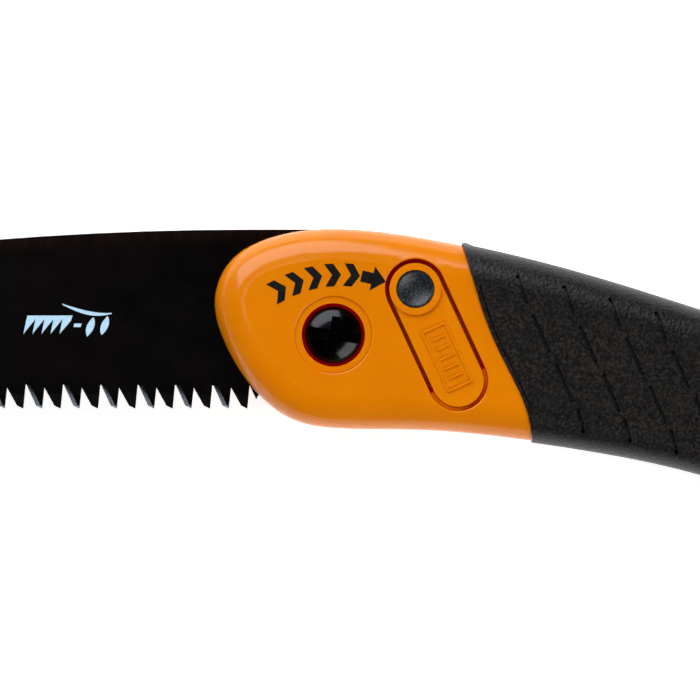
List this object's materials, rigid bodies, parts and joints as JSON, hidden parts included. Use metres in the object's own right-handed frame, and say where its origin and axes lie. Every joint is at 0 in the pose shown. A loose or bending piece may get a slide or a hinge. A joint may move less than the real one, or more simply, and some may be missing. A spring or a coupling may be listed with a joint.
{
  "type": "folding pruning saw",
  "caption": "Folding pruning saw with a coarse pull-stroke blade, a two-part hard handle under a soft grooved grip, a push-button lock tongue and a lanyard hole.",
  "frame": {"origin": "bottom centre of the open saw's box, with the saw lying on its far side", "axes": "+X towards the handle's tail, +Y towards the blade's back, +Z through the thickness towards the lock button's side"},
  "size_m": [0.4042, 0.095, 0.0209],
  "materials": {
    "hard_shell": "glossy",
    "soft_grip": "fine spark-eroded",
    "black_plastic": "fine textured",
    "coated_blade": "satin",
    "black_steel": "glossy black oxide",
    "bright_steel": "turned",
    "nylon": "matt"
  },
  "bodies": {
    "handle": {"near_core_half": "hard_shell", "far_core_half": "hard_shell", "grip_overmould": "soft_grip", "press_mark": "black_plastic", "pivot_screw": "black_steel", "spring_washer": "black_steel", "pivot_sleeve": "bright_steel", "pivot_nut": "bright_steel", "nut_nylon_ring": "nylon", "near_thrust_washer": "nylon", "far_thrust_washer": "nylon"},
    "blade": {"blade": "coated_blade"},
    "lock": {"lock_tongue": "hard_shell", "lock_button": "black_plastic", "lock_pin": "bright_steel"}
  },
  "joints": [
    {"name": "blade_fold", "type": "hinge", "parent": "handle", "child": "blade", "pos_m": [-0.00209, 0.02693, 0.0104], "axis": [0, 0, 1], "range_deg": [0, 163]},
    {"name": "lock_press", "type": "hinge", "parent": "handle", "child": "lock", "pos_m": [0.02191, 0.01809, 0.0188], "axis": [-0.9074, -0.4204, 0], "range_deg": [-3.37, 2.93], "stiffness_Nm_per_rad": 1, "springref_deg": -3.37}
  ]
}
